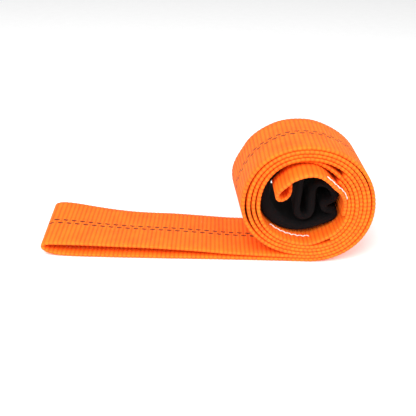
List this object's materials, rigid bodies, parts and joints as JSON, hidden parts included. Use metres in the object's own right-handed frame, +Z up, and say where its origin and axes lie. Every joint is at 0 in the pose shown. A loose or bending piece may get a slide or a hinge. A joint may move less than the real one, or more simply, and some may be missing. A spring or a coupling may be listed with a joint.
{
  "type": "tow strap",
  "caption": "Flat woven tow strap, folded double and rolled up from its sewn end, with a black protective sleeve on the eye in the roll's core.",
  "frame": {"origin": "centre of the strap's bounding box, on the floor that it lies on", "axes": "+X along the tail to the roll, +Y across the webbing and away from the viewer, +Z up"},
  "size_m": [0.2154, 0.0754, 0.0814],
  "materials": {
    "orange_webbing": "ribbed woven polyester, satin",
    "black_sleeve": "soft woven, matte",
    "white_thread": "sewing thread, satin"
  },
  "bodies": {
    "root": {"strap_webbing": "orange_webbing", "eye_webbing": "orange_webbing", "eye_sleeve": "black_sleeve", "seam_thread_inner": "white_thread", "seam_thread_outer": "white_thread"}
  },
  "joints": []
}
